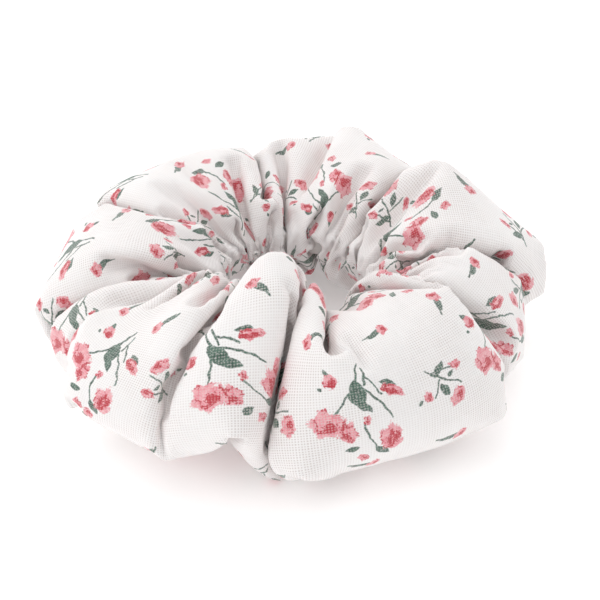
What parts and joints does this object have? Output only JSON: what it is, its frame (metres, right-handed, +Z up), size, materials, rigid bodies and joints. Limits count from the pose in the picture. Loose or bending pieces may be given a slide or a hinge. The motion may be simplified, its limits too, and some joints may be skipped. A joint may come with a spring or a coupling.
{
  "type": "scrunchie",
  "caption": "Fabric hair tie: a gathered printed cotton tube sewn into a ring around a flat braided elastic loop, lying flat.",
  "frame": {"origin": "on the surface the ring lies on, under the centre of the ring's hole", "axes": "+Z up, along the ring's axis; +X towards the side that the stretch joint pulls; the closing seam is on the left, towards the back"},
  "size_m": [0.115, 0.115, 0.038],
  "materials": {
    "printed_cotton": "matte",
    "elastic_braid": "matte",
    "elastic_rubber": "matte",
    "sewing_thread": "matte"
  },
  "bodies": {
    "left_side": {"cover_left": "printed_cotton", "elastic_braid_left": "elastic_braid", "rubber_strands_left": "elastic_rubber", "elastic_join_stitches": "sewing_thread", "long_seam_stitches_left": "sewing_thread", "closing_seam_stitches": "sewing_thread"},
    "right_side": {"cover_right": "printed_cotton", "elastic_braid_right": "elastic_braid", "rubber_strands_right": "elastic_rubber", "long_seam_stitches_right": "sewing_thread"}
  },
  "joints": [
    {"name": "stretch", "type": "slide", "parent": "left_side", "child": "right_side", "axis": [1, 0, 0], "range_m": [0, 0.08], "stiffness_N_per_m": 45}
  ]
}
